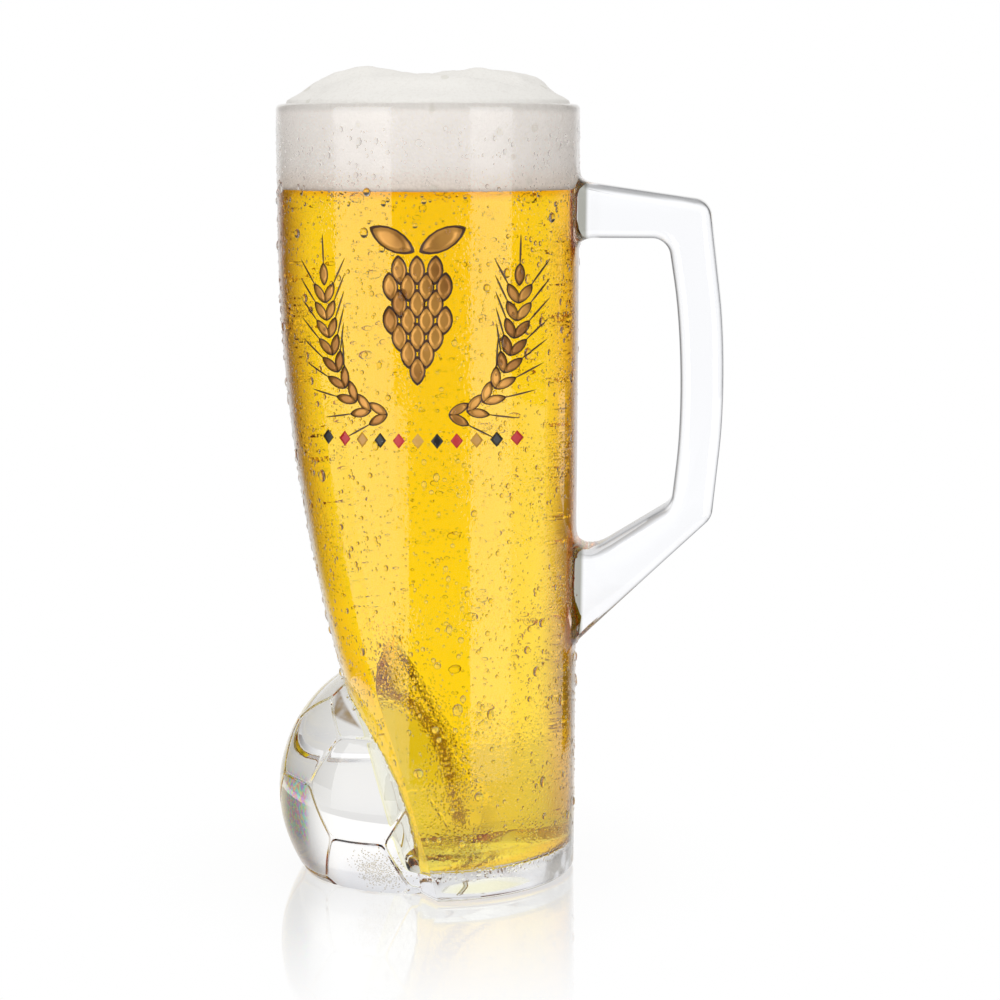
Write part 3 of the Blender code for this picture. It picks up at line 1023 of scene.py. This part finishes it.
# %% The print
PRINT_MIDDLE = 0.0022
PRINT_PLANE = -0.06
INK_LIFT = 0.00005
INK_THICK = 0.00003
KERNEL = (0.0012, 0.0028)
SCALE = (0.0020, 0.0036)
LEAF = (0.0027, 0.0062)
AWN = (0.00022, 0.0040)
DIAMOND = (0.0015, 0.0019)
KERNEL_OUT = 0.0026
AWN_OUT = 0.0083
EAR_FAN = 30
EAR_STEPS = 10
SCALE_APART = (0.0043, 0.0040)
SCALE_FAN = -900
HOP_TOP = 0.1560
ROW_APART = 0.0046
ROW_HEIGHT = 0.1150
GOLD_SHARE = 0.80
LEAF_SHARE = 0.84


def seed(corners):
    """A flat seed with pointed ends, one unit to each side, made of a fan of triangles."""
    bpy.ops.object.select_all(action="DESELECT")
    bpy.ops.mesh.primitive_circle_add(vertices=corners, radius=1, fill_type="TRIFAN")
    piece = start("seed")
    for vertex in piece.data.vertices:
        vertex.co.x *= math.sqrt(abs(vertex.co.x))
    bpy.ops.object.mode_set(mode="EDIT")
    bpy.ops.mesh.select_all(action="SELECT")
    bpy.ops.mesh.subdivide(number_cuts=1)
    bpy.ops.object.mode_set(mode="OBJECT")
    return piece


def mark(x, z, lean, size, share=1.0):
    """Matrix rows and place of one copy: half width, half height, and its lean to the left."""
    turn = math.radians(lean)
    width = Vector((math.cos(turn), 0, math.sin(turn))) * size[0] * share
    height = Vector((-math.sin(turn), 0, math.cos(turn))) * size[1] * share
    return (width, height, Vector((0, -1, 0))), Vector((PRINT_MIDDLE + x, PRINT_PLANE, z))


def ear(side):
    """Kernels and bristles along a stem that swings out and up, to the left (-1) or the right (1)."""
    kernels = []
    bristles = []
    low, bend, tip = Vector((0.0050, 0.1215)), Vector((0.0225, 0.1190)), Vector((0.0235, 0.1520))
    shares = np.linspace(0, 1, 200)
    stem = np.array([(1 - t) ** 2 * low + 2 * t * (1 - t) * bend + t**2 * tip for t in shares])
    run = np.concatenate([[0], np.cumsum(np.linalg.norm(np.diff(stem, axis=0), axis=1))])
    for step in range(EAR_STEPS):
        share = float(np.interp(run[-1] * (0.06 + 0.94 * step / (EAR_STEPS - 1)), run, shares))
        spot = (1 - share) ** 2 * low + 2 * share * (1 - share) * bend + share**2 * tip
        ahead = (1 - share) * (bend - low) + share * (tip - bend)
        lean = math.degrees(math.atan2(-ahead.x, ahead.y))
        for turn in (-EAR_FAN, EAR_FAN) if step < EAR_STEPS - 1 else (0,):
            way = Vector((0, 1))
            way.rotate(Matrix.Rotation(math.radians(lean + turn), 2))
            middle = spot + KERNEL_OUT * way
            end = spot + AWN_OUT * way
            kernels.append((side * middle.x, middle.y, side * (lean + turn)))
            bristles.append((side * end.x, end.y, side * (lean + turn)))
    return kernels, bristles


def hop_cone():
    """Scales in staggered rows, seven rows from the broad top to the tip."""
    scales = []
    for row, count in enumerate((3, 4, 3, 4, 3, 2, 1)):
        for place in range(count):
            x = SCALE_APART[0] * (place - (count - 1) / 2)
            scales.append((x, HOP_TOP - SCALE_APART[1] * row, SCALE_FAN * x))
    return scales


def printed(name, pattern, places, lift):
    piece = strew(name, pattern, places)
    add_modifier(
        piece, "SHRINKWRAP", target=glass, wrap_method="PROJECT", wrap_mode="ABOVE_SURFACE",
        use_project_y=True, use_positive_direction=True, use_negative_direction=False, offset=lift,
    )
    add_modifier(piece, "SOLIDIFY", thickness=INK_THICK, offset=1.0)
    return piece


left_kernels, left_bristles = ear(-1)
right_kernels, right_bristles = ear(1)
kernels = left_kernels + right_kernels
bristles = left_bristles + right_bristles
scales = hop_cone()
leaves = [(-0.0060, 0.1632, 62), (0.0060, 0.1632, -62)]
gold_places = [mark(*one, KERNEL, GOLD_SHARE) for one in kernels]
gold_places += [mark(*one, SCALE, GOLD_SHARE) for one in scales]
gold_places += [mark(*one, LEAF, LEAF_SHARE) for one in leaves]
dark_places = [mark(*one, KERNEL) for one in kernels] + [mark(*one, AWN) for one in bristles]
dark_places += [mark(*one, SCALE) for one in scales] + [mark(*one, LEAF) for one in leaves]
row = [(ROW_APART * place, ROW_HEIGHT, 0) for place in range(-5, 6)]
gold = printed("print_gold", seed(16), gold_places, INK_LIFT + 2 * INK_THICK)
dark = printed("print_outline", seed(16), dark_places, INK_LIFT)
diamonds = [
    printed(name, seed(4), [mark(*one, DIAMOND) for one in row[first::3]], INK_LIFT)
    for first, name in enumerate(("print_black", "print_red", "print_yellow"))
]


def enamel(name, deep, pale, metallic, roughness):
    """Fired enamel: two shades that drift into each other and a faint grain."""
    finish, tree, out = new_finish(name)
    place = make(tree, "TexCoord", output=3)
    drift = make(tree, "TexNoise", None, {"Vector": place, "Scale": 70.0, "Detail": 3.0})
    grain = make(tree, "TexNoise", None, {"Vector": place, "Scale": 2500.0, "Detail": 2.0})
    bump = make(tree, "Bump", None, {"Height": grain, "Strength": 0.15, "Distance": 0.0001})
    shader = make(
        tree, "BsdfPrincipled", None,
        {
            "Base Color": blend_colour(tree, smooth(drift, 0.35, 0.65), deep, pale),
            "Metallic": metallic, "Roughness": roughness, "Normal": bump,
        },
    )
    tree.links.new(shader.socket, out.inputs["Surface"])
    return finish


for piece, name, deep, pale, metallic, roughness in (
    (gold, "gold_enamel", (0.33, 0.13, 0.018, 1), (0.66, 0.32, 0.06, 1), 0.45, 0.35),
    (dark, "brown_enamel", (0.05, 0.018, 0.006, 1), (0.09, 0.035, 0.012, 1), 0.1, 0.4),
    (diamonds[0], "print_black", (0.010, 0.009, 0.009, 1), (0.020, 0.017, 0.016, 1), 0.0, 0.35),
    (diamonds[1], "print_red", (0.52, 0.010, 0.014, 1), (0.66, 0.020, 0.022, 1), 0.0, 0.35),
    (diamonds[2], "print_yellow", (0.55, 0.27, 0.03, 1), (0.75, 0.42, 0.07, 1), 0.0, 0.35),
):
    piece.data.materials.append(enamel(name, deep, pale, metallic, roughness))
print("print:", len(gold_places), "gold and", len(dark_places), "dark marks,", len(row), "diamonds")

# %% [markdown]
# Cold glass gathers water. A drop is a flat dome with its bottom just under the glass. Two domes are
# modelled, one for large drops and one with fewer faces for the many small ones. Their places come
# from rays shot at the wall from all round, and a drop that would touch another is left out.

# %% The drops
def dome(name, corners, profile):
    bpy.ops.object.select_all(action="DESELECT")
    bpy.ops.mesh.primitive_circle_add(vertices=corners, radius=1, fill_type="NGON")
    piece = start(name)
    bpy.ops.object.mode_set(mode="EDIT")
    bpy.ops.mesh.select_all(action="SELECT")
    bpy.ops.transform.translate(value=(0, 0, profile[0][1]))
    for (share, low), (next_share, high) in zip(profile, profile[1:]):
        bpy.ops.mesh.extrude_region_move(TRANSFORM_OT_translate={"value": (0, 0, high - low)})
        grow = next_share / share
        bpy.ops.transform.resize(value=(grow, grow, 1), center_override=(0, 0, high))
    bpy.ops.mesh.select_all(action="SELECT")
    bpy.ops.mesh.normals_make_consistent(inside=False)
    bpy.ops.object.mode_set(mode="OBJECT")
    return piece


WATER_INDEX = 1.33
TRIES = 6
CLOSEST = 0.95
MOST_DROPS = 9000
taken = np.full((MOST_DROPS, 4), 1.0)


def at_wall(chance):
    """A level ray at the wall from any side."""
    turn = chance.uniform(0, 2 * math.pi)
    aim = Vector((-math.cos(turn), -math.sin(turn), 0))
    return Vector((0, 0, chance.uniform(0.012, HEIGHT - 0.006))) - 0.12 * aim, aim


def at_ball(chance):
    """A ray at a damp patch low on the front of the football."""
    middle = Vector((-BALL_OFFSET, 0, BALL_HEIGHT))
    patch = Vector((chance.gauss(-0.0088, 0.0030), -0.0315, chance.gauss(0.0066, 0.0024)))
    aim = (middle - patch).normalized()
    return middle - 0.06 * aim, aim


def drop_places(count, smallest, largest, power, seed, shoot=at_wall):
    """(matrix rows, place) for drops on the outside that touch none of those before them."""
    chance = random.Random(seed)
    places = []
    for _ in range(TRIES * count):
        if len(places) == count:
            break
        radius = smallest + (largest - smallest) * chance.random() ** power
        origin, aim = shoot(chance)
        hit, spot, normal, _ = glass.ray_cast(origin, aim)
        if not hit or (shoot is at_wall and not on_outer_wall(spot)):
            continue
        apart = np.linalg.norm(taken[:, :3] - np.array(spot), axis=1)
        if (apart < CLOSEST * (taken[:, 3] * (apart < 0.01) + radius)).any():
            continue
        taken[np.argmax(taken[:, 3])] = (*spot, radius)
        up = (Vector((0, 0, 1)) - normal.z * normal).normalized()
        side = up.cross(normal)
        tall = 1 + 0.5 * chance.random() ** 2
        lift = chance.uniform(0.8, 1.25)
        places.append(((radius * side, tall * radius * up, lift * radius * normal), spot))
    return places


bpy.context.view_layer.update()
large_places = drop_places(220, 0.0006, 0.00125, 2, 11)
large_places += drop_places(1500, 0.00028, 0.0006, 1.6, 12)
small_places = drop_places(5200, 0.00013, 0.00028, 1.3, 13)
small_places += drop_places(360, 0.00012, 0.00022, 1.0, 14, at_ball)
LARGE_PROFILE = ((0.93, -0.10), (1.0, 0.08), (0.86, 0.30), (0.52, 0.46), (0.12, 0.52))
SMALL_PROFILE = ((0.95, -0.12), (1.0, 0.12), (0.45, 0.48))
large = strew("drops_large", dome("large_drop", 10, LARGE_PROFILE), large_places)
small = strew("drops_small", dome("small_drop", 6, SMALL_PROFILE), small_places)
finish, tree, out = new_finish("water")
shader = make(
    tree, "BsdfPrincipled", None,
    {"Base Color": (1, 1, 1, 1), "Roughness": 0.0, "IOR": WATER_INDEX, "Transmission Weight": 1.0},
)
tree.links.new(shader.socket, out.inputs["Surface"])
for piece in (large, small):
    piece.data.materials.append(finish)
print("drops:", len(large_places), "large,", len(small_places), "small")

# %% [markdown]
# Every piece rides on the one body of the frame and takes the place of its CAD node.

# %% Hand the pieces over
for piece, slot, nodes in (
    (glass, "clear_glass", ("glass_body", "football_foot", "handle")),
    (beer, "beer", ("beer",)),
    (foam, "foam", ("foam_head",)),
    (bubbles, "beer", ()),
    *((piece, "print_enamel", ()) for piece in (gold, dark, *diamonds)),
    (large, "condensation", ()),
    (small, "condensation", ()),
):
    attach(piece, "root")
    if nodes:
        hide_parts(*nodes)
    print(piece.name, "handed over as", slot)
